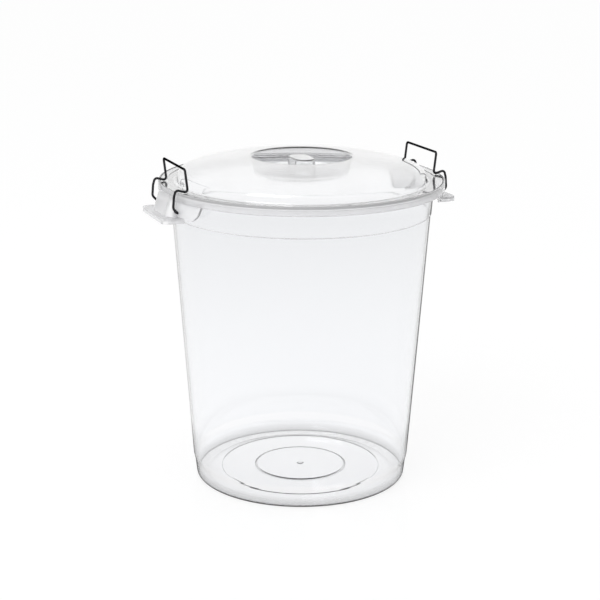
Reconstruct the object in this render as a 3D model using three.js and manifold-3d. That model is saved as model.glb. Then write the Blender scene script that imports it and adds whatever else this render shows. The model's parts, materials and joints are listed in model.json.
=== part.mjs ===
// A round clear plastic storage bin of about 30 litres, with a domed lid that two sprung wire clips hold down.
// Millimetres, +Z up, the origin on the ground under the middle of the bin, the clips on the X axis.
import * as THREE from 'three';
import { mergeVertices } from 'three/addons/utils/BufferGeometryUtils.js';
import Module from 'manifold-3d';

const wasm = await Module();
wasm.setup();

// Facets
const ringSides = 64;
const domeSteps = 5;
const wireSides = 8;
const planSteps = 4; // in each round corner of an outline that is lofted
const arcSag = 0.22; // the most that a chord may lie inside its arc
const settlePasses = 4;
const overrun = 1; // how far a cut runs past the face it opens
const fleck = 0.01; // a cut can leave flat shells behind, of less than this volume

// Bucket
const rimTop = 400; // the ground to the top of the rim
const bucketWall = 2.5;
const footInnerRadius = 120; // the ring that the bin stands on, from here
const footRadius = 139.5; // to here
const footCorner = 5;
const footTopRadius = 141.9;
const footHeight = 20;
const footStepHeight = 1.5;
const floorRecess = 4;
const floorSlope = 1.5; // how far the steps in the floor lean
const centreRadius = 59; // the shallow raised disc in the middle of the floor
const centreRise = 1.2;
const gateRadius = 4; // the moulding's gate, a nub under the middle
const gateHeight = 1.8;
const wallLowRadius = 143.9;
const wallHighIn = 3.6; // from the collar in to the top of the wall
const collarHeight = 43; // the collar's lower edge to the top of the rim
const collarStep = 1.1;
const collarStepHeight = 3;
const collarIn = 13.5; // from the rim in to the collar, where they meet
const rimRadius = 184.8;
const rimBand = 12; // height of the rim's outer band
const rimLip = 4; // the rim's top above the flange that the lid rests on
const rimRound = 1.1;

// Ears: on each side a shelf to lift by, under a curtain that hangs from the rim, with a boss for the clip
const curtainTopHalf = 82;
const curtainLowHalf = 69;
const curtainCorner = 24;
const shelfDrop = 31; // the rim's top to the top of the shelf
const shelfOut = 17.2; // from the rim to the shelf's front edge
const shelfHalf = 47;
const shelfCorner = 9;
const shelfLip = 6; // the shelf's edge, from its top to the foot of its lip
const bossTopHalf = 30;
const bossLowHalf = 33;
const bossTopOut = 0.7; // from the rim to the boss's face, at its top
const bossLowOut = 8.2;
const bossCorner = 12;

// Lid
const seatGap = 0.3; // between pieces that touch
const lidWall = 2.5;
const ledgeRise = 0.8; // the outer ledge above the inner one
const ledgeStepIn = 12.3; // from the rim in to the step between the ledges
const ledgeRound = 0.8;
const plugWall = 2.2;
const plugDepth = 8;
const plugGap = 1;
const domeFootIn = 22.3; // from the rim in to the foot of the dome
const domeShoulderIn = 4; // from there to the shoulder
const domeShoulderRound = 8;
const domeFootRound = 1.6;
const domeHeight = 30.1; // the rim's top to the top of the dome, were it whole
const domeDrop = 17.35; // the top of the dome to its shoulder
const domePower = 3; // 2 falls away like a ball, more keeps the middle flatter
const wellMouthRadius = 64.3;
const wellMouthRound = 3.4;
const wellFloorRadius = 58.5;
const wellFloorRound = 4;
const wellDepth = 22;
const gripHalfLength = 23;
const gripHalfWidth = 13.5;
const gripDraft = 1.5;
const gripRound = 1.6;
const gripDrop = 2.4; // the mouth of the well to the top of the grip

// Clips, each one bent wire
const wire = 3;
const legHalf = 43; // the middle of the clip to the middle of a leg
const pinBite = 5; // how far a bent end goes into the boss
const pinGap = 0.3;
const pinClearance = 0.8; // between the pin and the curtain
const pivotDrop = 25; // the rim's top to the pivot
const bellyClearance = 6.6; // between the leg and the rim's band
const bellyLowDrop = 18.5;
const bellyHighDrop = 4.2;
const bellyLean = 1.2; // the belly's upper end, inward of its lower end
const bellyBend = 6;
const crestClearance = 1.6; // between the wire and the rim's top
const crestReach = 4.4;
const crestRise = 1.5; // the crest's sharp corner above the wire's own height there
const crestBend = 4;
const crookIn = 7.5; // from the rim in to where the crook rests on the lid's ledge
const crookBack = 3.4;
const crookBend = 3.2;
const handleRise = 29; // the rim's top to the top bar
const handleLean = 0; // the top bar, outward of the crook
const handleBend = 3.2;
const pinBend = 3;

// Heights and places that follow
const flangeTop = rimTop - rimLip;
const flangeUnder = flangeTop - bucketWall;
const collarFoot = rimTop - collarHeight;
const rimInner = rimRadius - bucketWall;
const collarRadius = rimRadius - collarIn;
const wallHighRadius = collarRadius - wallHighIn;
const ledgeStepRadius = rimRadius - ledgeStepIn;
const domeFootRadius = rimRadius - domeFootIn;
const domeShoulderRadius = domeFootRadius - domeShoulderIn;
const crookRadius = rimRadius - crookIn;
const shelfReach = rimRadius + shelfOut;
const bossTopReach = rimRadius + bossTopOut;
const bossLowReach = rimRadius + bossLowOut;
const shelfTop = rimTop - shelfDrop;
const shelfFoot = shelfTop - shelfLip;
const ledgeUnder = flangeTop + seatGap;
const ledgeLow = ledgeUnder + lidWall;
const ledgeTop = ledgeLow + ledgeRise;
const lidRadius = rimInner - seatGap;
const domeTop = rimTop + domeHeight;
const domeAt = (radius) => domeTop - domeDrop * (radius / domeShoulderRadius) ** domePower;
const wellMouth = domeAt(wellMouthRadius);
const wellFloor = wellMouth - wellDepth;
const gripTop = wellMouth - gripDrop;
const ringAtLeg = (radius, half = legHalf) => Math.sqrt(radius ** 2 - half ** 2);
const pivot = {
  x: ringAtLeg(rimInner, bossLowHalf) + pinClearance + wire / 2,
  z: rimTop - pivotDrop,
};

// A closed mesh as a solid, without the slivers that a profile leaves on its axis
function solid(geometry) {
  geometry.deleteAttribute('normal');
  geometry.deleteAttribute('uv');
  const merged = mergeVertices(geometry);
  const faces = [];
  for (let i = 0; i < merged.index.count; i += 3) {
    const [a, b, c] = [0, 1, 2].map((k) => merged.index.getX(i + k));
    if (a !== b && b !== c && c !== a) faces.push(a, b, c);
  }
  return new wasm.Manifold(new wasm.Mesh({
    numProp: 3,
    vertProperties: new Float32Array(merged.attributes.position.array),
    triVerts: new Uint32Array(faces),
  }));
}

function named(name, body, material) {
  const { vertProperties, triVerts } = body.getMesh();
  const geometry = new THREE.BufferGeometry();
  geometry.setAttribute('position', new THREE.BufferAttribute(vertProperties, 3));
  geometry.setIndex(new THREE.BufferAttribute(triVerts, 1));
  geometry.computeVertexNormals();
  const mesh = new THREE.Mesh(geometry, material);
  mesh.name = name;
  return mesh;
}

// Corners [x, y, bend] become points, each bend an arc between the lines that meet there
function rounded(corners, closed = false, steps = undefined) {
  const count = corners.length;
  return corners.flatMap(([x, y, bend = 0], i) => {
    const here = new THREE.Vector2(x, y);
    if (bend === 0 || (!closed && (i === 0 || i === count - 1))) return [here];
    const before = new THREE.Vector2(...corners[(i + count - 1) % count].slice(0, 2));
    const after = new THREE.Vector2(...corners[(i + 1) % count].slice(0, 2));
    return arc(before, here, after, bend, steps);
  });
}

// The arc that rounds the corner at here, for points of two or three coordinates
function arc(before, here, after, bend, stated) {
  const back = before.clone().sub(here).normalize();
  const on = after.clone().sub(here).normalize();
  const half = Math.acos(THREE.MathUtils.clamp(back.dot(on), -1, 1)) / 2;
  const centre = back.clone().add(on).setLength(bend / Math.sin(half)).add(here);
  const start = back.clone().multiplyScalar(bend / Math.tan(half)).add(here).sub(centre);
  const end = on.clone().multiplyScalar(bend / Math.tan(half)).add(here).sub(centre);
  const turn = Math.PI - 2 * half;
  const steps = stated ?? Math.ceil(turn / (2 * Math.acos(1 - Math.min(arcSag / bend, 1 / 2))));
  return Array.from({ length: steps + 1 }, (_, i) => {
    const share = i / steps;
    const from = Math.sin((1 - share) * turn) / Math.sin(turn);
    const to = Math.sin(share * turn) / Math.sin(turn);
    return start.clone().multiplyScalar(from).add(end.clone().multiplyScalar(to)).add(centre);
  });
}

// The same corners moved sideways by a wall, to the left of the way they run
function offset(corners, wall) {
  const sides = corners.slice(1).map(([x, y], i) => {
    const along = new THREE.Vector2(x - corners[i][0], y - corners[i][1]).normalize();
    return new THREE.Vector2(-along.y, along.x);
  });
  return corners.map(([x, y, bend = 0], i) => {
    const a = sides[Math.max(i - 1, 0)];
    const b = sides[Math.min(i, sides.length - 1)];
    const reach = wall / (1 + a.dot(b));
    const turnsLeft = a.x * b.y - a.y * b.x > 0;
    const moved = [x + (a.x + b.x) * reach, y + (a.y + b.y) * reach];
    return [...moved, bend === 0 ? 0 : Math.max(bend + (turnsLeft ? -wall : wall), 0)];
  });
}

// A profile of radius and height, turned about the bin's axis
function revolve(points) {
  const geometry = new THREE.LatheGeometry(points, ringSides);
  return solid(geometry.rotateX(Math.PI / 2));
}

function ring(inner, outer, low, high) {
  const corners = [[inner, low], [outer, low], [outer, high], [inner, high], [inner, low]];
  return revolve(corners.map(([x, y]) => new THREE.Vector2(x, y)));
}

function disc(radius, low, high) {
  const corners = [[0, low], [radius, low], [radius, high], [0, high]];
  return revolve(corners.map(([x, y]) => new THREE.Vector2(x, y)));
}

// An outline in plan, raised from one height to another
function plate(points, low, high) {
  const geometry = new THREE.ExtrudeGeometry(new THREE.Shape(points), { depth: high - low, bevelEnabled: false });
  return solid(geometry.translate(0, 0, low));
}

// A convex outline that changes from one height to the next
function loft(sections) {
  const sides = sections[0].points.length;
  const positions = [];
  const faces = [];
  sections.forEach(({ points, z }) => points.forEach((p) => positions.push(p.x, p.y, z)));
  for (let level = 0; level < sections.length - 1; level += 1) {
    for (let i = 0; i < sides; i += 1) {
      const a = level * sides + i;
      const b = level * sides + ((i + 1) % sides);
      faces.push(a, b, b + sides, a, b + sides, a + sides);
    }
  }
  const top = (sections.length - 1) * sides;
  for (let i = 1; i < sides - 1; i += 1) {
    faces.push(0, i + 1, i);
    faces.push(top, top + i, top + i + 1);
  }
  const geometry = new THREE.BufferGeometry();
  geometry.setAttribute('position', new THREE.Float32BufferAttribute(positions, 3));
  geometry.setIndex(faces);
  return solid(geometry);
}

// Bucket: the outside from the middle of the floor up to the collar, the rim, and the inside back down
function bucketShell() {
  const floor = floorRecess;
  const outside = [
    [0, floor + centreRise],
    [centreRadius, floor + centreRise],
    [centreRadius + floorSlope, floor],
    [footInnerRadius - floorSlope, floor],
    [footInnerRadius, 0],
    [footRadius, 0, footCorner],
    [footTopRadius, footHeight],
    [wallLowRadius, footHeight + footStepHeight],
    [wallHighRadius, collarFoot],
    [wallHighRadius + collarStep, collarFoot + collarStepHeight],
    [collarRadius, flangeUnder],
  ];
  const inside = offset(outside, bucketWall);
  inside[inside.length - 1] = [collarRadius - bucketWall, flangeTop];
  const rim = [
    [rimInner, flangeUnder],
    [rimInner, rimTop - rimBand],
    [rimRadius, rimTop - rimBand, rimRound],
    [rimRadius, rimTop, rimRound],
    [rimInner, rimTop, rimRound],
    [rimInner, flangeTop],
  ];
  return revolve(rounded([...outside, ...rim, ...inside.reverse()]));
}

const shelfPlan = (inset) => rounded([
  [0, -shelfHalf + inset],
  [shelfReach - inset, -shelfHalf + inset, shelfCorner - inset],
  [shelfReach - inset, shelfHalf - inset, shelfCorner - inset],
  [0, shelfHalf - inset],
]);

const bossPlan = (reach, half, inset) => rounded([
  [collarRadius, -half + inset],
  [reach - inset, -half + inset, bossCorner - inset],
  [reach - inset, half - inset, bossCorner - inset],
  [collarRadius, half - inset],
], false, planSteps);

function boss(inset, low, high) {
  return loft([
    { points: bossPlan(bossLowReach, bossLowHalf, inset), z: low },
    { points: bossPlan(bossLowReach, bossLowHalf, inset), z: shelfTop },
    { points: bossPlan(bossTopReach, bossTopHalf, inset), z: high },
  ]);
}

// The ear on the +X side
function ear() {
  const hung = flangeUnder + bucketWall / 2;
  const inCurtain = rimInner - bucketWall / 2;
  const curtainInner = rimInner - bucketWall;
  const upright = (points, near, far) => {
    const geometry = new THREE.ExtrudeGeometry(new THREE.Shape(points), { depth: far - near, bevelEnabled: false });
    return solid(geometry.rotateX(Math.PI / 2).rotateZ(Math.PI / 2).translate(near, 0, 0));
  };
  const trapezium = rounded([
    [-curtainLowHalf, shelfTop - bucketWall, curtainCorner],
    [curtainLowHalf, shelfTop - bucketWall, curtainCorner],
    [curtainTopHalf, hung],
    [-curtainTopHalf, hung],
  ], true, planSteps);
  const curtain = ring(curtainInner, rimInner, shelfTop - bucketWall, hung)
    .intersect(upright(trapezium, 0, rimRadius));
  const shelf = plate(shelfPlan(0), shelfFoot, shelfTop)
    .subtract(plate(shelfPlan(bucketWall), shelfFoot - overrun, shelfTop - bucketWall))
    .subtract(disc(inCurtain, shelfFoot - overrun, shelfTop + overrun));
  const block = boss(0, shelfTop - bucketWall, hung)
    .subtract(disc(inCurtain, shelfTop - shelfLip, rimTop));
  const hollow = boss(bucketWall, shelfFoot - overrun, flangeUnder);
  const hole = solid(new THREE.CylinderGeometry(
    wire / 2 + pinGap,
    wire / 2 + pinGap,
    2 * (bossLowHalf + overrun),
    2 * wireSides,
  ).translate(pivot.x, 0, 0).translate(0, 0, pivot.z));
  return curtain.add(shelf).add(block).subtract(hollow).subtract(hole);
}

function bucket() {
  const gate = disc(gateRadius, floorRecess + centreRise - gateHeight, floorRecess + centreRise + bucketWall / 2);
  const side = ear();
  const whole = bucketShell().add(gate).add(side).add(side.rotate([0, 0, 180]));
  return wasm.Manifold.union(whole.decompose().filter((shell) => shell.volume() > fleck));
}

// Lid: the upper skin from the middle of the well out to the edge, then the underside with its plug
function lidShell() {
  const shoulder = domeAt(domeShoulderRadius);
  const crown = Array.from({ length: domeSteps }, (_, i) => {
    const radius = THREE.MathUtils.lerp(wellMouthRadius, domeShoulderRadius, (i + 1) / (domeSteps + 1));
    return [radius, domeAt(radius)];
  });
  const skin = [
    [0, wellFloor],
    [wellFloorRadius, wellFloor, wellFloorRound],
    [wellMouthRadius, wellMouth, wellMouthRound],
    ...crown,
    [domeShoulderRadius, shoulder, domeShoulderRound],
    [domeFootRadius, ledgeLow, domeFootRound],
    [ledgeStepRadius, ledgeLow],
  ];
  const underside = offset(skin, -lidWall).slice(0, -1);
  const collarAtPlug = THREE.MathUtils.mapLinear(
    ledgeUnder - plugDepth,
    collarFoot + collarStepHeight,
    flangeUnder,
    wallHighRadius + collarStep,
    collarRadius,
  );
  const plugOuter = collarAtPlug - bucketWall - plugGap;
  const edge = [
    [ledgeStepRadius + ledgeRise, ledgeTop],
    [lidRadius, ledgeTop, ledgeRound],
    [lidRadius, ledgeUnder, ledgeRound],
    [plugOuter, ledgeUnder],
    [plugOuter, ledgeUnder - plugDepth, ledgeRound],
    [plugOuter - plugWall, ledgeUnder - plugDepth, ledgeRound],
    [plugOuter - plugWall, ledgeUnder],
  ];
  return revolve(rounded([...skin, ...edge, ...underside.reverse()]).reverse());
}

// A slot-shaped outline, long along Y
const gripPlan = (inset) => rounded([
  [gripHalfWidth - inset, -gripHalfLength + inset, gripHalfWidth - inset],
  [gripHalfWidth - inset, gripHalfLength - inset, gripHalfWidth - inset],
  [-gripHalfWidth + inset, gripHalfLength - inset, gripHalfWidth - inset],
  [-gripHalfWidth + inset, -gripHalfLength + inset, gripHalfWidth - inset],
], true, planSteps);

function lid() {
  const block = loft([
    { points: gripPlan(-gripDraft), z: wellFloor - lidWall / 2 },
    { points: gripPlan(0), z: gripTop - gripRound },
    { points: gripPlan(gripRound / 3), z: gripTop - gripRound / 3 },
    { points: gripPlan(gripRound), z: gripTop },
  ]);
  const hollow = loft([
    { points: gripPlan(lidWall - gripDraft), z: wellFloor - lidWall - overrun },
    { points: gripPlan(lidWall), z: gripTop - lidWall },
  ]);
  return lidShell().add(block).subtract(hollow);
}

// A path through points that are already where the wire turns
class BentPath extends THREE.Curve {
  constructor(points) {
    super();
    this.points = points;
  }

  getPointAt(share) {
    return this.points[Math.round(share * (this.points.length - 1))].clone();
  }

  getTangentAt(share) {
    const i = Math.round(share * (this.points.length - 1));
    const here = this.points[i];
    const back = this.points[i - 1] ?? here;
    const on = this.points[i + 1] ?? here;
    const into = here.clone().sub(back).normalize();
    return on.clone().sub(here).normalize().add(into).normalize();
  }

  getSpacedPoints() {
    return this.points.map((p) => p.clone());
  }
}

// The clip on the +X side: a pin in the boss, a belly round the rim, a crook on the lid, and the bar to pull
function clip() {
  const belly = ringAtLeg(rimRadius) + bellyClearance + wire / 2;
  const crest = rimTop + crestClearance + wire / 2;
  const crook = ringAtLeg(crookRadius);
  const seat = ledgeTop + seatGap + wire / 2;
  const pinEnd = bossLowHalf - pinBite;
  const legPoint = (x, z) => new THREE.Vector3(x, legHalf, z);
  const over = legPoint(ringAtLeg(rimRadius) + crestReach, crest + crestRise);
  const under = legPoint(crook - crookBack, seat);
  const bar = legPoint(crook + handleLean, rimTop + handleRise);
  for (let pass = 0; pass < settlePasses; pass += 1) {
    const lowest = Math.min(...arc(over, under, bar, crookBend).map((p) => p.z));
    under.z += seat - lowest; // until the round of the crook, and not its corner, is on the ledge
  }
  const near = [
    [legPoint(pivot.x, pivot.z), pinBend],
    [legPoint(belly, rimTop - bellyLowDrop), bellyBend],
    [legPoint(belly - bellyLean, rimTop - bellyHighDrop), bellyBend],
    [over, crestBend],
    [under, crookBend],
    [bar, handleBend],
  ];
  const far = near.map(([p, bend]) => [new THREE.Vector3(p.x, -p.y, p.z), bend]).reverse();
  const corners = [...near, ...far];
  const ends = [pinEnd, -pinEnd].map((y) => new THREE.Vector3(pivot.x, y, pivot.z));
  const stops = [ends[0], ...corners.map(([p]) => p), ends[1]];
  const bends = corners.flatMap(([, bend], i) => arc(...stops.slice(i, i + 3), bend));
  const path = new BentPath([ends[0], ...bends, ends[1]]);
  const section = new THREE.Shape(Array.from({ length: wireSides }, (_, i) => {
    const angle = (i / wireSides) * 2 * Math.PI;
    return new THREE.Vector2(Math.cos(angle), Math.sin(angle)).multiplyScalar(wire / 2);
  }));
  return solid(new THREE.ExtrudeGeometry(section, { steps: path.points.length - 1, extrudePath: path }));
}

const clearPlastic = new THREE.MeshStandardMaterial({
  color: 0xf2f5f6, roughness: 0.08, metalness: 0, transparent: true, opacity: 0.4,
});
const steelWire = new THREE.MeshStandardMaterial({ color: 0x6d6e70, roughness: 0.3, metalness: 1 });

const bin = new THREE.Group();
bin.add(named('bucket', bucket(), clearPlastic));
bin.add(named('lid', lid(), clearPlastic));
bin.add(named('right_clip', clip(), steelWire));
const leftClip = named('left_clip', clip(), steelWire);
leftClip.rotation.z = Math.PI;
bin.add(leftClip);

export default bin;
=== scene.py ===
import json
import math

import bpy
from mathutils import Matrix, Vector


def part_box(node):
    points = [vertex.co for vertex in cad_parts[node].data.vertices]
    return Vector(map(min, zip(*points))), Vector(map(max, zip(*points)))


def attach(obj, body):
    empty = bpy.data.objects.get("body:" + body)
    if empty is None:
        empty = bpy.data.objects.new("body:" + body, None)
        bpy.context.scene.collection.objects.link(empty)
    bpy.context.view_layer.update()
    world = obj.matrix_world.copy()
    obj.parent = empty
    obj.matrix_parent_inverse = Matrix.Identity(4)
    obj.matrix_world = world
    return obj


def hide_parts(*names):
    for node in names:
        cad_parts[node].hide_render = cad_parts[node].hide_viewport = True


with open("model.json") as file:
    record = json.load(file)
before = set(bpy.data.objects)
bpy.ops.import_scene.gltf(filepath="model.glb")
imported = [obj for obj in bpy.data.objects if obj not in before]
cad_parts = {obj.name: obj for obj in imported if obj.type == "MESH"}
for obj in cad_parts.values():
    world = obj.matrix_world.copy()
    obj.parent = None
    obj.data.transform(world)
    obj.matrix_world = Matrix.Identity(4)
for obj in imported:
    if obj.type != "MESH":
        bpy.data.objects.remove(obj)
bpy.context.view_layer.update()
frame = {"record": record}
mm = 0.001  # lengths below are in mm, and makeObject turns them into metres

meshing = {
    "sides": 256,  # round the bin
    "sag": 0.012,  # the most that a chord may lie inside its arc
    "mostSag": 0.5,  # the same as a share of the radius, for tiny arcs
    "planSteps": 10,  # in a round corner of a lofted outline
    "wireSides": 20,
    "widestCorner": 2,  # times the wire's thickness
    "sharpAngle": 32,  # degrees
    "edgeSegments": 3,
    "flatWeight": 100,  # keeps flats flat beside their rounds
    "overrun": 1.0,  # past the face that a cut opens
    "samePlace": 0.001,  # points closer than this are one
}

# the bucket reaches as far as its shelves in x, and as its rim in y and z
shelfReach, rimRadius, rimTop = [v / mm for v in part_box("bucket")[1]]
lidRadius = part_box("lid")[1][1] / mm
joints = {joint["name"]: joint for joint in frame["record"]["behaviour"]["joints"]}
pivotX, _, pivotZ = [v / mm for v in joints["right_clip_hinge"]["pos_m"]]


# Points, outlines and meshes
def arcPoints(before, here, after, bend, steps=None):
    # the round corner at here, on the way from before to after
    back = (before - here).normalized()
    on = (after - here).normalized()
    half = math.acos(max(-1.0, min(1.0, back.dot(on)))) / 2
    centre = (back + on).normalized() * (bend / math.sin(half)) + here
    start = back * (bend / math.tan(half)) + here - centre
    end = on * (bend / math.tan(half)) + here - centre
    turn = math.pi - 2 * half
    if steps is None:
        sag = min(meshing["sag"] / bend, meshing["mostSag"])
        steps = math.ceil(turn / (2 * math.acos(1 - sag)))
    found = []
    for i in range(steps + 1):
        a = math.sin((1 - i / steps) * turn) / math.sin(turn)
        b = math.sin(i / steps * turn) / math.sin(turn)
        found.append(start * a + end * b + centre)
    return found


def rounded(corners, closed=False, steps=None):
    # a corner is x and y, and a third value where it is round
    found = []
    for i, (x, y, *bend) in enumerate(corners):
        here = Vector((x, y))
        atEnd = not closed and i in (0, len(corners) - 1)
        if atEnd or not bend or bend[0] == 0:
            found.append(here)
        else:
            before = Vector(corners[i - 1][:2])
            after = Vector(corners[(i + 1) % len(corners)][:2])
            found += arcPoints(before, here, after, bend[0], steps)
    return found


def offset(corners, wall):
    # the same outline a wall's thickness to its left
    sides = []
    for start, end in zip(corners, corners[1:]):
        along = Vector((end[0] - start[0], end[1] - start[1])).normalized()
        sides.append(Vector((-along.y, along.x)))
    moved = []
    for i, (x, y, *bend) in enumerate(corners):
        a = sides[max(i - 1, 0)]
        b = sides[min(i, len(sides) - 1)]
        reach = wall / (1 + a.dot(b))
        turnsLeft = a.x * b.y - a.y * b.x > 0
        newBend = max(bend[0] + (-wall if turnsLeft else wall), 0) if bend and bend[0] else 0
        moved.append((x + (a.x + b.x) * reach, y + (a.y + b.y) * reach, newBend))
    return moved


def makeObject(name, points, faces):
    mesh = bpy.data.meshes.new(name)
    mesh.from_pydata([tuple(v * mm for v in p) for p in points], [], faces)
    mesh.validate()
    mesh.update()
    piece = bpy.data.objects.new(name, mesh)
    bpy.context.scene.collection.objects.link(piece)
    return piece


def lathe(name, profile):
    # a closed profile of radius and height, or one that starts and ends on the axis
    sides = meshing["sides"]
    onAxis = [p[0] < meshing["samePlace"] for p in profile]
    points, rows = [], []
    for i, (radius, height) in enumerate(profile):
        if onAxis[i]:
            rows.append([len(points)] * sides)
            points.append((0, 0, height))
            continue
        rows.append([len(points) + k for k in range(sides)])
        for k in range(sides):
            turn = 2 * math.pi * k / sides
            points.append((radius * math.cos(turn), radius * math.sin(turn), height))
    faces = []
    for i in range(len(profile)):
        j = (i + 1) % len(profile)
        if onAxis[i] and onAxis[j]:
            continue
        for k in range(sides):
            m = (k + 1) % sides
            corners = [rows[i][k], rows[i][m], rows[j][m], rows[j][k]]
            faces.append(list(dict.fromkeys(corners)))  # three-sided at the axis
    return makeObject(name, points, faces)


def ring(inner, outer, low, high):
    return lathe("ring", [(inner, low), (outer, low), (outer, high), (inner, high)])


def disc(radius, low, high):
    return lathe("disc", [(0, low), (radius, low), (radius, high), (0, high)])


def skin(name, rows):
    # closed rows with as many points each, joined in turn, and a flat face at both ends
    count = len(rows[0])
    points = [p for row in rows for p in row]
    faces = [list(range(count))[::-1]]
    for level in range(len(rows) - 1):
        for i in range(count):
            a = level * count + i
            b = level * count + (i + 1) % count
            faces.append([a, b, b + count, a + count])
    last = (len(rows) - 1) * count
    faces.append([last + i for i in range(count)])
    return makeObject(name, points, faces)


def loft(name, sections):
    # closed outlines, each with the height that it lies at
    return skin(name, [[(p[0], p[1], z) for p in outline] for outline, z in sections])


def combine(piece, other, way):
    step = piece.modifiers.new("step", "BOOLEAN")
    step.operation = way
    step.solver = "MANIFOLD"
    step.object = other
    settle(piece)
    bpy.data.objects.remove(other)


def settle(piece):
    # the mesh as its modifiers make it, with none left on the piece
    mesh = bpy.data.meshes.new_from_object(piece.evaluated_get(bpy.context.evaluated_depsgraph_get()))
    piece.modifiers.clear()
    piece.data = mesh


def softenEdges(piece, width):
    edge = piece.modifiers.new("edge", "BEVEL")
    edge.width = width * mm
    edge.segments = meshing["edgeSegments"]
    edge.limit_method = "ANGLE"
    edge.angle_limit = math.radians(meshing["sharpAngle"])
    settle(piece)


def smooth(piece):
    for face in piece.data.polygons:
        face.use_smooth = True
    bpy.context.view_layer.objects.active = piece
    piece.select_set(True)
    bpy.ops.object.shade_smooth_by_angle(angle=math.radians(meshing["sharpAngle"]))
    piece.select_set(False)
    flatter = piece.modifiers.new("flatter", "WEIGHTED_NORMAL")
    flatter.keep_sharp = True
    flatter.weight = meshing["flatWeight"]
    settle(piece)


def turned(piece, angle):
    copy = piece.copy()
    copy.data = piece.data.copy()
    copy.data.transform(Matrix.Rotation(angle, 4, "Z"))
    bpy.context.scene.collection.objects.link(copy)
    return copy


# Bucket
bucketSizes = {
    "wall": 2.5,
    "centreRadius": 59, "centreRise": 1.2, "centreSlope": 1.5,  # the raised disc in the floor's middle
    "gateRadius": 6, "gateHeight": 1.8,  # the moulding's gate, a nub under it
    "plateRadius": 105.5,  # the flat floor, which then slopes down to the foot
    "floorRecess": 4, "floorBend": 2.2,
    "footInner": 122, "footInnerCorner": 3,
    "footRadius": 139.5, "footCorner": 3, "footTop": 141.9, "footHeight": 20,
    "contactBand": 8,  # the clear floor ends this far inside the foot's outer edge
    "footStep": 8,  # the height that the step over the foot is spread over
    "stepBend": 30,
    "wallLow": 143.9, "wallHighIn": 3.6,
    "collarHeight": 43, "collarStep": 1.1, "collarStepHeight": 3, "collarIn": 13.5,
    "collarLineHeight": 1.5,  # the step is sharper outside than inside
    "rimBand": 12, "rimLip": 4, "rimRound": 1.1,
}
flangeTop = rimTop - bucketSizes["rimLip"]
flangeUnder = flangeTop - bucketSizes["wall"]
bandFoot = rimTop - bucketSizes["rimBand"]
rimInner = rimRadius - bucketSizes["wall"]
collarFoot = rimTop - bucketSizes["collarHeight"]
collarRadius = rimRadius - bucketSizes["collarIn"]
wallHigh = collarRadius - bucketSizes["wallHighIn"]
discFoot = bucketSizes["floorRecess"] + bucketSizes["centreRise"]


def bucketOutline(stepHeight):
    s = bucketSizes
    return [
        (0, discFoot),
        (s["centreRadius"], discFoot, s["floorBend"]),
        (s["centreRadius"] + s["centreSlope"], s["floorRecess"], s["floorBend"]),
        (s["plateRadius"], s["floorRecess"], s["floorBend"]),
        (s["footInner"], 0, s["footInnerCorner"]),
        (s["footRadius"], 0, s["footCorner"]),
        (s["footTop"], s["footHeight"], s["stepBend"]),
        (s["wallLow"], s["footHeight"] + s["footStep"], s["stepBend"]),
        (wallHigh, collarFoot),
        (wallHigh + s["collarStep"], collarFoot + stepHeight),
        (collarRadius, flangeUnder),
    ]


def bucketShell():
    s = bucketSizes
    outside = bucketOutline(s["collarLineHeight"])
    inside = offset(bucketOutline(s["collarStepHeight"]), s["wall"])
    inside[-1] = (collarRadius - s["wall"], flangeTop, s["rimRound"])
    rim = [
        (rimInner, flangeUnder),
        (rimInner, bandFoot, s["rimRound"]),
        (rimRadius, bandFoot, s["rimRound"]),
        (rimRadius, rimTop, s["rimRound"]),
        (rimInner, rimTop, s["rimRound"]),
        (rimInner, flangeTop),
    ]
    return lathe("bucket_body", rounded(outside + rim + inside[::-1]))


# Ears: a shelf to lift by under a curtain that hangs from the rim, with a boss for the clip's pins
earSizes = {
    "curtainTopHalf": 82, "curtainLowHalf": 69, "curtainCorner": 24,
    "shelfDrop": 31, "shelfHalf": 47, "shelfCorner": 9, "shelfLip": 6,
    "bossTopHalf": 30, "bossLowHalf": 33, "bossTopOut": 0.7, "bossLowOut": 8.2, "bossCorner": 12,
    "pinHole": 1.8,  # its radius
    "edge": 0.6,  # how far the corners are softened
}
shelfTop = rimTop - earSizes["shelfDrop"]


def earPlan(back, reach, half, bend):
    corners = [(back, -half), (reach, -half, bend), (reach, half, bend), (back, half)]
    return rounded(corners, steps=meshing["planSteps"])


def shelfPlan(inset):
    s = earSizes
    return earPlan(0, shelfReach - inset, s["shelfHalf"] - inset, s["shelfCorner"] - inset)


def boss(inset, low, high):
    s = earSizes
    bend = s["bossCorner"] - inset
    wide = earPlan(collarRadius, rimRadius + s["bossLowOut"] - inset, s["bossLowHalf"] - inset, bend)
    slim = earPlan(collarRadius, rimRadius + s["bossTopOut"] - inset, s["bossTopHalf"] - inset, bend)
    return loft("boss", [(wide, low), (wide, shelfTop), (slim, high)])


def pinCut(radius, half):
    sides = 2 * meshing["wireSides"]
    turns = [2 * math.pi * k / sides for k in range(sides)]
    circle = [(radius * math.cos(turn), radius * math.sin(turn)) for turn in turns]
    rod = loft("rod", [(circle, -half), (circle, half)])
    rod.data.transform(Matrix.Rotation(math.pi / 2, 4, "X"))
    rod.data.transform(Matrix.Translation((pivotX * mm, 0, pivotZ * mm)))
    return rod


def curtainWindow(low, high):
    # what the curtain keeps of its ring, seen from +X
    s = earSizes
    front = rounded([
        (-s["curtainLowHalf"], low, s["curtainCorner"]),
        (s["curtainLowHalf"], low, s["curtainCorner"]),
        (s["curtainTopHalf"], high),
        (-s["curtainTopHalf"], high),
    ], closed=True, steps=meshing["planSteps"])
    window = loft("window", [(front, 0), (front, rimRadius)])
    window.data.transform(Matrix(((0, 0, 1, 0), (1, 0, 0, 0), (0, 1, 0, 0), (0, 0, 0, 1))))
    return window


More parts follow.
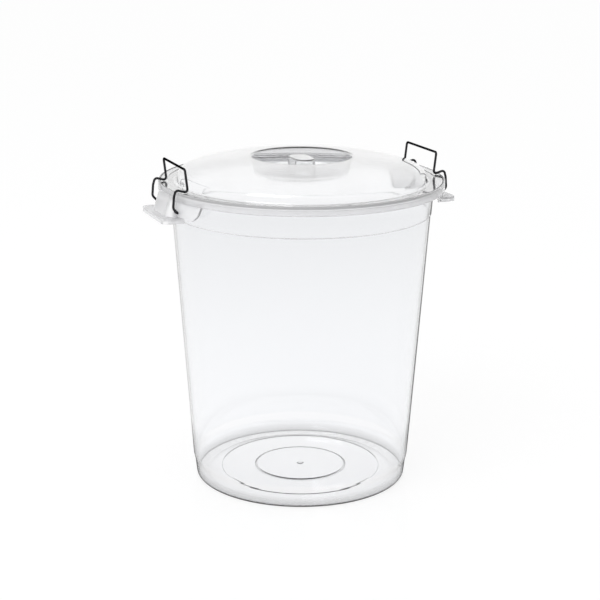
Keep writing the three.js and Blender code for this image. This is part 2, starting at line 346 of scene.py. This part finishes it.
def ear():
    s = earSizes
    wall = bucketSizes["wall"]
    over = meshing["overrun"]
    hung = flangeUnder + wall / 2
    inCurtain = rimInner - wall / 2
    low = shelfTop - wall
    shelfFoot = shelfTop - s["shelfLip"]
    curtain = ring(rimInner - wall, rimInner, low, hung)
    combine(curtain, curtainWindow(low, hung), "INTERSECT")
    shelf = loft("shelf", [(shelfPlan(0), shelfFoot), (shelfPlan(0), shelfTop)])
    inner = shelfPlan(wall)
    combine(shelf, loft("under", [(inner, shelfFoot - over), (inner, low)]), "DIFFERENCE")
    combine(shelf, disc(inCurtain, shelfFoot - over, shelfTop + over), "DIFFERENCE")
    block = boss(0, low, hung)
    combine(block, disc(inCurtain, shelfFoot, rimTop), "DIFFERENCE")
    combine(curtain, shelf, "UNION")
    combine(curtain, block, "UNION")
    combine(curtain, boss(wall, shelfFoot - over, flangeUnder), "DIFFERENCE")
    softenEdges(curtain, s["edge"])
    combine(curtain, pinCut(s["pinHole"], s["bossLowHalf"] + over), "DIFFERENCE")
    return curtain


def gate():
    s = bucketSizes
    foot = discFoot - s["gateHeight"]
    top = discFoot + s["wall"] / 2
    return lathe("gate", rounded([
        (0, foot),
        (s["gateRadius"] / 2, foot, s["gateRadius"]),
        (s["gateRadius"], top),
        (0, top),
    ]))


def makeBucket():
    piece = bucketShell()
    combine(piece, gate(), "UNION")
    side = ear()
    other = turned(side, math.pi)
    combine(piece, side, "UNION")
    combine(piece, other, "UNION")
    piece.name = "clear_bucket"
    smooth(piece)
    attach(piece, "bin")
    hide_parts("bucket")
    print("bucket made,", len(piece.data.polygons), "faces")
    return piece


# Lid
lidSizes = {
    "seatGap": 0.3, "wall": 2.5,
    "ledgeRise": 0.8, "ledgeStepIn": 12.3, "ledgeRound": 0.8,
    "plugWall": 2.2, "plugDepth": 8, "plugGap": 1,
    "domeHeight": 30.1, "domeDrop": 17.35, "domePower": 3, "domeSteps": 28,
    "domeFootIn": 22.3, "footRound": 1.6,
    "shoulderIn": 4, "shoulderBefore": 18, "shoulderAfter": 8,  # the roll over, each way from its corner
    "pullBefore": 0.85, "pullAfter": 0.4, "shoulderSteps": 16,
    "wellMouth": 64.3, "mouthRound": 3.4, "wellFloor": 58.5, "floorRound": 4, "wellDepth": 22,
    "gripHalfLength": 23, "gripHalfWidth": 13.5, "gripDraft": 1.5, "gripDrop": 2.4, "gripRound": 1.6,
    "gripRoundShares": ((0, 1), (0.08, 0.62), (0.3, 0.3), (0.62, 0.08), (1, 0)),  # inward, and down
}
ledgeUnder = flangeTop + lidSizes["seatGap"]
ledgeLow = ledgeUnder + lidSizes["wall"]
ledgeTop = ledgeLow + lidSizes["ledgeRise"]
ledgeStep = rimRadius - lidSizes["ledgeStepIn"]
domeFoot = rimRadius - lidSizes["domeFootIn"]
domeShoulder = domeFoot - lidSizes["shoulderIn"]


def domeAt(radius):
    s = lidSizes
    return rimTop + s["domeHeight"] - s["domeDrop"] * (radius / domeShoulder) ** s["domePower"]


wellMouthTop = domeAt(lidSizes["wellMouth"])
wellFloorTop = wellMouthTop - lidSizes["wellDepth"]


def shoulder(crownEnd):
    # the crown rolls over into its foot along a Bezier curve, with no seam where the roll begins
    s = lidSizes
    corner = Vector((domeShoulder, domeAt(domeShoulder)))
    start = Vector((crownEnd, domeAt(crownEnd)))
    slope = domeAt(crownEnd) - domeAt(crownEnd - 1)
    over = start + Vector((1, slope)) * s["shoulderBefore"] * s["pullBefore"]
    down = (Vector((domeFoot, ledgeLow)) - corner).normalized()
    end = corner + down * s["shoulderAfter"]
    under = corner + down * s["shoulderAfter"] * s["pullAfter"]
    points = []
    for i in range(s["shoulderSteps"] + 1):
        t = i / s["shoulderSteps"]
        ends = start * (1 - t) ** 3 + end * t ** 3
        pulls = over * 3 * t * (1 - t) ** 2 + under * 3 * t * t * (1 - t)
        points.append(tuple(ends + pulls))
    return points


def lidSkin():
    # the lid's upper side, from the middle of the well out to the step between its ledges
    s = lidSizes
    crownEnd = domeShoulder - s["shoulderBefore"]
    crown = []
    for i in range(1, s["domeSteps"]):
        radius = s["wellMouth"] + (crownEnd - s["wellMouth"]) * i / s["domeSteps"]
        if radius > s["wellMouth"] + s["mouthRound"]:
            crown.append((radius, domeAt(radius)))
    return [
        (0, wellFloorTop),
        (s["wellFloor"], wellFloorTop, s["floorRound"]),
        (s["wellMouth"], wellMouthTop, s["mouthRound"]),
        *crown,
        *shoulder(crownEnd),
        (domeFoot, ledgeLow, s["footRound"]),
        (ledgeStep, ledgeLow),
    ]


def collarAt(height):
    # the collar's outer radius above its step
    stepTop = collarFoot + bucketSizes["collarStepHeight"]
    stepRadius = wallHigh + bucketSizes["collarStep"]
    share = (height - stepTop) / (flangeUnder - stepTop)
    return stepRadius + share * (collarRadius - stepRadius)


def lidShell():
    s = lidSizes
    skin = lidSkin()
    underside = offset(skin, -s["wall"])[:-1]
    plugFoot = ledgeUnder - s["plugDepth"]
    plugOuter = collarAt(plugFoot) - bucketSizes["wall"] - s["plugGap"]
    plugInner = plugOuter - s["plugWall"]
    edge = [
        (ledgeStep + s["ledgeRise"], ledgeTop),
        (lidRadius, ledgeTop, s["ledgeRound"]),
        (lidRadius, ledgeUnder, s["ledgeRound"]),
        (plugOuter, ledgeUnder),
        (plugOuter, plugFoot, s["ledgeRound"]),
        (plugInner, plugFoot, s["ledgeRound"]),
        (plugInner, ledgeUnder),
    ]
    return lathe("lid_body", rounded((skin + edge + underside[::-1])[::-1]))


def gripPlan(inset):
    wide = lidSizes["gripHalfWidth"] - inset
    long = lidSizes["gripHalfLength"] - inset
    corners = [(wide, -long, wide), (wide, long, wide), (-wide, long, wide), (-wide, -long, wide)]
    points = rounded(corners, closed=True, steps=meshing["planSteps"])
    # the two rounds at each end meet in one point, which is kept once
    return [p for i, p in enumerate(points) if (p - points[i - 1]).length > meshing["samePlace"]]


def makeLid():
    s = lidSizes
    piece = lidShell()
    top = wellMouthTop - s["gripDrop"]
    bend = s["gripRound"]
    block = loft("grip", [
        (gripPlan(-s["gripDraft"]), wellFloorTop - s["wall"] / 2),
        *[(gripPlan(bend * inward), top - bend * down) for inward, down in s["gripRoundShares"]],
    ])
    hollow = loft("grip_hollow", [
        (gripPlan(s["wall"] - s["gripDraft"]), wellFloorTop - s["wall"] - meshing["overrun"]),
        (gripPlan(s["wall"]), top - s["wall"]),
    ])
    combine(piece, block, "UNION")
    combine(piece, hollow, "DIFFERENCE")
    piece.name = "clear_lid"
    smooth(piece)
    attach(piece, "lid")
    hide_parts("lid")
    print("lid made,", len(piece.data.polygons), "faces")
    return piece


# Clips, each one bent wire
clipSizes = {
    "wire": 3, "legHalf": 43, "pinBite": 5, "pinBend": 3,
    "bellyClearance": 6.6, "bellyLowDrop": 18.5, "bellyHighDrop": 4.2, "bellyLean": 1.2, "bellyBend": 6,
    "crestClearance": 1.6, "crestReach": 4.4, "crestRise": 1.5, "crestBend": 4,
    "crookIn": 7.5, "crookBack": 3.4, "crookBend": 3.2,
    "handleRise": 29, "handleBend": 3.2,
    "settlePasses": 4,  # to lay the crook on the ledge
}


def atLeg(radius):
    # how far out a circle round the bin lies where the clip's leg meets it
    return math.sqrt(radius ** 2 - clipSizes["legHalf"] ** 2)


def legPoint(x, z):
    return Vector((x, clipSizes["legHalf"], z))


def clipPath():
    s = clipSizes
    thick = s["wire"] / 2
    rimAtLeg = atLeg(rimRadius)
    crook = atLeg(rimRadius - s["crookIn"])
    belly = rimAtLeg + s["bellyClearance"] + thick
    crest = rimTop + s["crestClearance"] + thick
    seat = ledgeTop + lidSizes["seatGap"] + thick
    over = legPoint(rimAtLeg + s["crestReach"], crest + s["crestRise"])
    under = legPoint(crook - s["crookBack"], seat)
    bar = legPoint(crook, rimTop + s["handleRise"])
    for _ in range(s["settlePasses"]):
        under.z += seat - min(p.z for p in arcPoints(over, under, bar, s["crookBend"]))
    near = [
        (legPoint(pivotX, pivotZ), s["pinBend"]),
        (legPoint(belly, rimTop - s["bellyLowDrop"]), s["bellyBend"]),
        (legPoint(belly - s["bellyLean"], rimTop - s["bellyHighDrop"]), s["bellyBend"]),
        (over, s["crestBend"]),
        (under, s["crookBend"]),
        (bar, s["handleBend"]),
    ]
    far = [(Vector((p.x, -p.y, p.z)), bend) for p, bend in near][::-1]
    pinEnd = earSizes["bossLowHalf"] - s["pinBite"]
    first = Vector((pivotX, pinEnd, pivotZ))
    last = Vector((pivotX, -pinEnd, pivotZ))
    stops = [first] + [p for p, _ in near + far] + [last]
    path = [first]
    for i, (_, bend) in enumerate(near + far):
        path += arcPoints(stops[i], stops[i + 1], stops[i + 2], bend)
    return path + [last]


def sweep(name, path, radius, sides):
    # a round wire along the path, widened in its corners so that it stays as thick
    rows = []
    side = Vector((1, 0, 0))
    for i, here in enumerate(path):
        into = (here - path[i - 1]).normalized() if i else (path[1] - here).normalized()
        on = (path[i + 1] - here).normalized() if i < len(path) - 1 else into
        along = (into + on).normalized()
        side = (side - along * side.dot(along)).normalized()
        other = along.cross(side)
        widen = 1 / max(along.dot(on), 1 / meshing["widestCorner"])
        corner = (on - into).normalized()
        row = []
        for k in range(sides):
            turn = 2 * math.pi * (k + 0.5) / sides
            spoke = side * math.cos(turn) + other * math.sin(turn)
            spoke += corner * spoke.dot(corner) * (widen - 1)
            row.append(here + spoke * radius)
        rows.append(row)
    return skin(name, rows)


def makeClip(node, angle):
    piece = sweep(node + "_wire", clipPath(), clipSizes["wire"] / 2, meshing["wireSides"])
    piece.data.transform(Matrix.Rotation(angle, 4, "Z"))
    smooth(piece)
    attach(piece, node)
    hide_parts(node)
    print(node, "made,", len(piece.data.polygons), "faces")
    return piece


# Shader nodes
def feed(tree, node, inputs):
    # each input takes a plain value, or another node's output
    for name, value in inputs.items():
        if isinstance(value, bpy.types.NodeSocket):
            tree.links.new(value, node.inputs[name])
        else:
            node.inputs[name].default_value = value


def addNode(tree, kind, inputs=None):
    node = tree.nodes.new("ShaderNode" + kind)
    feed(tree, node, inputs or {})
    return node


def calculated(tree, operation, *values):
    node = addNode(tree, "Math")
    node.operation = operation
    feed(tree, node, dict(enumerate(values)))
    return node.outputs["Value"]


def largest(tree, first, *others):
    for other in others:
        first = calculated(tree, "MAXIMUM", first, other)
    return first


def eitherOf(tree, share, ordinary, special):
    return addNode(tree, "MixShader", {0: share, 1: ordinary, 2: special}).outputs["Shader"]


def levelRamp(tree, value, wanted):
    # greys at stops along the value
    ramp = addNode(tree, "ValToRGB", {"Fac": value})
    stops = ramp.color_ramp.elements
    while len(stops) < len(wanted):
        stops.new(1)
    for stop, (at, level) in zip(stops, wanted):
        stop.position = at
        stop.color = (level, level, level, 1)
    return ramp.outputs["Color"]


# Materials
# the plastic's own tints, and dark tints that paint shade on edges, lines, the foot and the well
plasticTintsAndShades = {
    "clear_wall": (0.961, 0.966, 0.976),
    # lighter than the wall's tint, which paints light into the base over the floor that lies in shade
    # under the bin
    "lightened_clear_base": (0.985, 0.985, 0.99),
    "shaded_edge": (0.16, 0.16, 0.165),  # corners that trap the light
    # painted shade on the disc's step, the floor's bend and the gate
    "shaded_mark": (0.7, 0.7, 0.71),
    "foot_shade_line": (0.35, 0.35, 0.355),  # painted shade where the foot meets the floor
    "shaded_well": (0.76, 0.76, 0.77),
}
clearPlasticAndShade = {
    "ior": 1.5,
    "roughness": (0.012, 0.045),  # clean to handled
    "smearScale": 18, "smearDetail": 5, "smearLow": 0.35, "smearHigh": 0.75,
    "wave": 0.10, "waveDepth": 1, "waveScale": 9, "waveDetail": 1,  # the moulding's slow waviness
    "edgeShadeTint": (0.05, 0.05, 0.051),  # painted shade where the wall is seen edge on
    "edgeFrom": 0.86, "edgeTo": 0.9,
    "footShade": 0.4, "footShadeHeight": 15,  # painted shade, darker toward the floor in the foot
}
milkyPlastic = {
    "milky_rim": {"tint": (0.91, 0.91, 0.922), "roughness": (0.14, 0.2), "clearness": 0.6, "coat": 0},
    "milky_lid": {"tint": (0.99, 0.992, 0.995), "roughness": (0.05, 0.09), "clearness": 0.985, "coat": 1},
}
lidCoat = {"ior": 1.6, "roughness": 0.05}


def newMaterial(name):
    material = bpy.data.materials.new(name)
    material.use_nodes = True
    return material, material.node_tree, material.node_tree.nodes["Principled BSDF"]


def makePlastic(name, tint, roughness):
    s = clearPlasticAndShade
    _, tree, shader = newMaterial(name)
    place = addNode(tree, "TexCoord").outputs["Object"]
    smear = addNode(tree, "TexNoise", {
        "Vector": place, "Scale": s["smearScale"], "Detail": s["smearDetail"],
    })
    handled = addNode(tree, "MapRange", {
        "Value": smear.outputs["Fac"],
        "From Min": s["smearLow"], "From Max": s["smearHigh"],
        "To Min": roughness[0], "To Max": roughness[1],
    })
    wave = addNode(tree, "TexNoise", {"Vector": place, "Scale": s["waveScale"], "Detail": s["waveDetail"]})
    bump = addNode(tree, "Bump", {
        "Strength": s["wave"], "Distance": s["waveDepth"] * mm, "Height": wave.outputs["Fac"],
    })
    feed(tree, shader, {
        "Base Color": (*tint, 1),
        "Roughness": handled.outputs["Result"],
        "IOR": s["ior"],
        "Normal": bump.outputs["Normal"],
        "Transmission Weight": 1,
    })
    return tree, shader


def makeClearPlasticsAndShades():
    for name, tint in plasticTintsAndShades.items():
        tree, shader = makePlastic(name, tint, clearPlasticAndShade["roughness"])
        if name == "clear_wall":
            shadeWall(tree, shader)


def shadeWall(tree, shader):
    # painted shade: the wall darkens where it is seen edge on, which draws its outline, and toward the
    # floor in the foot
    s = clearPlasticAndShade
    facing = addNode(tree, "LayerWeight").outputs["Facing"]
    edge = addNode(tree, "MapRange", {"Value": facing, "From Min": s["edgeFrom"], "From Max": s["edgeTo"]})
    place = addNode(tree, "TexCoord").outputs["Object"]
    height = addNode(tree, "SeparateXYZ", {"Vector": place}).outputs["Z"]
    foot = addNode(tree, "MapRange", {
        "Value": height, "From Max": s["footShadeHeight"] * mm, "To Min": s["footShade"], "To Max": 0,
    })
    tint = addNode(tree, "Mix")
    tint.data_type = "RGBA"
    feed(tree, tint, {
        "Factor": largest(tree, edge.outputs["Result"], foot.outputs["Result"]),
        "A": (*plasticTintsAndShades["clear_wall"], 1),
        "B": (*s["edgeShadeTint"], 1),
    })
    feed(tree, shader, {"Base Color": tint.outputs["Result"]})


def makeMilkyPlastics():
    for name, s in milkyPlastic.items():
        tree, shader = makePlastic(name, s["tint"], s["roughness"])
        feed(tree, shader, {
            "Transmission Weight": s["clearness"],
            "Coat Weight": s["coat"],
            "Coat IOR": lidCoat["ior"],
            "Coat Roughness": lidCoat["roughness"],
        })


steelWire = {
    "colour": (0.035, 0.035, 0.038),
    "edgeColour": (0.25, 0.25, 0.25),
    "roughness": (0.22, 0.42),
    "drawScale": (900, 900, 60), "drawDetail": 3,  # fine marks, longest up and down
    "drawWave": 0.25, "drawDepth": 0.05,
}


def makeSteelWire():
    s = steelWire
    material, tree, shader = newMaterial("steel_wire")
    place = addNode(tree, "TexCoord").outputs["Object"]
    stretch = addNode(tree, "Mapping", {"Vector": place, "Scale": s["drawScale"]})
    draw = addNode(tree, "TexNoise", {
        "Vector": stretch.outputs["Vector"], "Scale": 1, "Detail": s["drawDetail"],
    }).outputs["Fac"]
    worn = addNode(tree, "MapRange", {
        "Value": draw, "To Min": s["roughness"][0], "To Max": s["roughness"][1],
    })
    bump = addNode(tree, "Bump", {
        "Strength": s["drawWave"], "Distance": s["drawDepth"] * mm, "Height": draw,
    })
    feed(tree, shader, {
        "Base Color": (*s["colour"], 1),
        "Metallic": 1,
        "Roughness": worn.outputs["Result"],
        "Specular Tint": (*s["edgeColour"], 1),
        "Normal": bump.outputs["Normal"],
    })
    return material


# Which faces take which plastic or painted shade, by where they lie
finishAndShadeBands = {
    "margin": 1,  # past a form's own edge
    "clearOfEars": 45,  # the painted shade lines stop this far from the ears' middle
    "jointHalf": 0.5,  # half the width of the painted shade line inside the rim, where the lid sits
    "facesIn": 0.5,  # the cosine from which a face counts as facing the bin's axis
    "underDisc": 0.1,  # the gate starts this far under the disc
    "floorRingHalf": 1.5,  # half the width of the painted shade line round the flat floor
    "wellHalf": 6, "wellHigh": 1, "wellLow": 12,  # the shade below the well's mouth
}
bucketFinishesAndShades = ["clear_wall", "milky_rim", "lightened_clear_base", "shaded_edge", "shaded_mark", "foot_shade_line"]
lidFinishesAndShades = ["milky_lid", "shaded_edge", "shaded_well"]


def bucketFinishOrShade(face):
    s = bucketSizes
    margin = finishAndShadeBands["margin"]
    x, y, z = face.center / mm
    reach = math.hypot(x, y)
    inward = -(face.normal.x * x + face.normal.y * y) / max(reach, margin)
    belowStep = z < s["footHeight"]
    atJoint = z > flangeTop and abs(reach - rimInner) < finishAndShadeBands["jointHalf"]
    onCollarLine = reach > wallHigh and 0 < z - collarFoot < s["collarLineHeight"]
    onGate = reach < s["gateRadius"] + margin and z < discFoot - finishAndShadeBands["underDisc"]
    onDiscEdge = -margin < reach - s["centreRadius"] < s["centreSlope"] + margin
    onFloorRing = abs(reach - s["plateRadius"]) < finishAndShadeBands["floorRingHalf"]
    onFloor = belowStep and reach < s["footRadius"] - s["contactBand"]
    onStep = -margin < z - s["footHeight"] < s["footStep"] + margin
    if atJoint and abs(y) > finishAndShadeBands["clearOfEars"]:
        return "shaded_edge"
    if reach > collarRadius and z > bandFoot - margin:
        return "milky_rim"
    if reach > collarRadius + margin:  # the ears, clear on their inner side
        return "lightened_clear_base" if inward > finishAndShadeBands["facesIn"] else "milky_rim"
    if onCollarLine:
        return "milky_rim"
    if onGate:
        return "shaded_mark"
    if reach > s["footRadius"] - s["footCorner"] and z < s["footCorner"]:
        return "foot_shade_line"
    if belowStep and (onDiscEdge or onFloorRing):
        return "shaded_mark"
    if onFloor or onStep:
        return "lightened_clear_base"
    return "clear_wall"


def lidFinishOrShade(face):
    s = lidSizes
    x, y, z = face.center / mm
    reach = math.hypot(x, y)
    onEdge = reach > lidRadius - s["ledgeRound"] and z > ledgeUnder
    belowMouth = finishAndShadeBands["wellHigh"] < wellMouthTop - z < finishAndShadeBands["wellLow"]
    if onEdge and abs(y) > finishAndShadeBands["clearOfEars"]:
        return "shaded_edge"
    if belowMouth and abs(reach - s["wellMouth"]) < finishAndShadeBands["wellHalf"]:
        return "shaded_well"
    return "milky_lid"


def dress(piece, finishesAndShades, finishOrShadeOf):
    piece.data.materials.clear()
    for name in finishesAndShades:
        piece.data.materials.append(bpy.data.materials[name])
    for face in piece.data.polygons:
        face.material_index = finishesAndShades.index(finishOrShadeOf(face))


# Studio
studio = {
    "azimuth": -22.5, "distance": 1.9575, "height": 0.7776, "pitch": 15.475, "roll": 0.28,
    "focalPixels": 1539.1, "imagePixels": 600, "shiftPixels": 1, "sensor": 36,
    "fillLevel": 0.8,
    "keySize": 2.0, "keyPower": 40, "keyPlace": (-1.8, -1.2, 2.6), "keyAim": (0, 0, 0.25),
    "floorSide": 60, "floorColour": (0.92, 0.92, 0.92), "floorRoughness": 0.6,
    "floorGlow": 0.88, "floorShade": 0.15,
    "floorPolish": 0.08, "polishRoughness": 0.05,
    "paintedShadeReach": 2.0,  # metres behind the bin, which the next two divide
    "throughPlasticShadeStops": ((0.1, 0.91), (0.75, 0.755), (0.95, 0.88)),  # painted shade on the bin: the floor greyer where seen through the plastic
    "paintedStripDepth": ((0.02, 1), (0.06, 0), (0.75, 0), (0.9, 1)),  # where the painted reflection's dark strip runs
    "paintedStripReach": 0.6, "paintedStripSlant": 0.4,
    "paintedStripStops": ((0.46, 0.95), (0.5, 0.25), (0.62, 0.25), (0.66, 0.95)),  # across the dark strip
    "footGloom": 0.1, "gloomNear": 0.15, "gloomFar": 0.28,  # painted shade in the mirrored floor, close around the foot
}


def makeCamera():
    s = studio
    data = bpy.data.cameras.new("camera")
    camera = bpy.data.objects.new("camera", data)
    bpy.context.scene.collection.objects.link(camera)
    turn = math.radians(s["azimuth"])
    place = Vector((math.sin(turn), -math.cos(turn), 0)) * s["distance"]
    stand = Matrix.Translation((place.x, place.y, s["height"]))
    aim = Matrix.Rotation(turn, 4, "Z")
    tilt = Matrix.Rotation(math.radians(90 - s["pitch"]), 4, "X")
    roll = Matrix.Rotation(math.radians(s["roll"]), 4, "Z")
    camera.matrix_world = stand @ aim @ tilt @ roll
    data.sensor_width = s["sensor"]
    data.lens = s["focalPixels"] / s["imagePixels"] * s["sensor"]
    data.shift_x = -s["shiftPixels"] / s["imagePixels"]
    bpy.context.scene.camera = camera


def makeWorld():
    # white where it is seen, mirrored or seen through, and a softer fill elsewhere
    world = bpy.data.worlds.new("studio")
    bpy.context.scene.world = world
    world.use_nodes = True
    tree = world.node_tree
    white = (1, 1, 1, 1)
    fill = tree.nodes["Background"]
    feed(tree, fill, {"Color": white, "Strength": studio["fillLevel"]})
    seen = addNode(tree, "Background", {"Color": white, "Strength": 1})
    rays = addNode(tree, "LightPath").outputs
    looks = largest(tree, rays["Is Camera Ray"], rays["Is Glossy Ray"], rays["Is Transmission Ray"])
    surface = eitherOf(tree, looks, fill.outputs["Background"], seen.outputs["Background"])
    feed(tree, tree.nodes["World Output"], {"Surface": surface})


def seenFloor(tree, rays, depth):
    # near white and faintly polished, and greyer through the plastic, which paints shade on the bin
    s = studio
    level = addNode(tree, "Mix", {
        "Factor": rays["Is Camera Ray"],
        "A": levelRamp(tree, depth, s["throughPlasticShadeStops"]),
        "B": s["floorGlow"],
    })
    glow = addNode(tree, "Emission", {"Strength": level.outputs["Result"]})
    shade = addNode(tree, "BsdfDiffuse", {"Color": (*[s["floorShade"]] * 3, 1)})
    white = addNode(tree, "AddShader", {0: glow.outputs["Emission"], 1: shade.outputs["BSDF"]})
    polish = addNode(tree, "BsdfGlossy", {"Roughness": s["polishRoughness"]})
    return eitherOf(tree, s["floorPolish"], white.outputs["Shader"], polish.outputs["BSDF"])


def mirroredFloor(tree, place, apart, depth):
    # what the gloss shows: painted reflections, a dark strip that darkens the right edge, and a dark ring
    # of painted shade round the foot
    s = studio
    slanted = calculated(tree, "MULTIPLY_ADD", apart["Y"], -s["paintedStripSlant"], apart["X"])
    across = addNode(tree, "MapRange", {
        "Value": slanted, "From Min": -s["paintedStripReach"], "From Max": s["paintedStripReach"],
    })
    strip = levelRamp(tree, across.outputs["Result"], s["paintedStripStops"])
    paintedStrip = largest(tree, strip, levelRamp(tree, depth, s["paintedStripDepth"]))
    reach = addNode(tree, "VectorMath", {0: place})
    reach.operation = "LENGTH"
    gloom = addNode(tree, "MapRange", {
        "Value": reach.outputs["Value"],
        "From Min": s["gloomNear"], "From Max": s["gloomFar"], "To Min": s["footGloom"],
    })
    level = calculated(tree, "MULTIPLY", gloom.outputs["Result"], paintedStrip)
    return addNode(tree, "Emission", {"Strength": level}).outputs["Emission"]


def makeFloor():
    s = studio
    half = s["floorSide"] / 2 / mm
    corners = [(-half, -half, 0), (half, -half, 0), (half, half, 0), (-half, half, 0)]
    floor = makeObject("floor", corners, [[0, 1, 2, 3]])
    material, tree, pale = newMaterial("pale_floor")
    feed(tree, pale, {
        "Base Color": (*s["floorColour"], 1), "Roughness": s["floorRoughness"], "Specular IOR Level": 0,
    })
    place = addNode(tree, "TexCoord").outputs["Object"]
    away = (0, 0, -math.radians(s["azimuth"]))  # turned so that Y runs away from the camera
    facing = addNode(tree, "Mapping", {"Vector": place, "Rotation": away})
    apart = addNode(tree, "SeparateXYZ", {"Vector": facing.outputs["Vector"]}).outputs
    depth = addNode(tree, "MapRange", {"Value": apart["Y"], "From Max": s["paintedShadeReach"]}).outputs["Result"]
    rays = addNode(tree, "LightPath").outputs
    looks = largest(tree, rays["Is Camera Ray"], rays["Is Transmission Ray"])
    surface = eitherOf(tree, looks, pale.outputs["BSDF"], seenFloor(tree, rays, depth))
    # what a clear piece lets through is a glossy ray too
    mirrors = calculated(tree, "SUBTRACT", rays["Is Glossy Ray"], rays["Is Transmission Ray"])
    mirrors.node.use_clamp = True
    surface = eitherOf(tree, mirrors, surface, mirroredFloor(tree, place, apart, depth))
    feed(tree, tree.nodes["Material Output"], {"Surface": surface})
    floor.data.materials.append(material)


def makeLights():
    s = studio
    data = bpy.data.lights.new("key", "AREA")
    data.size = s["keySize"]
    data.energy = s["keyPower"]
    key = bpy.data.objects.new("key", data)
    key.location = s["keyPlace"]
    key.rotation_euler = (Vector(s["keyAim"]) - key.location).to_track_quat("-Z", "Y").to_euler()
    key.visible_glossy = False  # no hard patch on the dome
    bpy.context.scene.collection.objects.link(key)


bpy.context.scene.view_settings.view_transform = "Standard"
makeCamera()
makeWorld()
makeFloor()
makeLights()
print("studio made")

makeClearPlasticsAndShades()
makeMilkyPlastics()
steel = makeSteelWire()
print("materials made")

dress(makeBucket(), bucketFinishesAndShades, bucketFinishOrShade)
dress(makeLid(), lidFinishesAndShades, lidFinishOrShade)
for node, angle in (("right_clip", 0), ("left_clip", math.pi)):
    makeClip(node, angle).data.materials.append(steel)
print("pieces dressed")
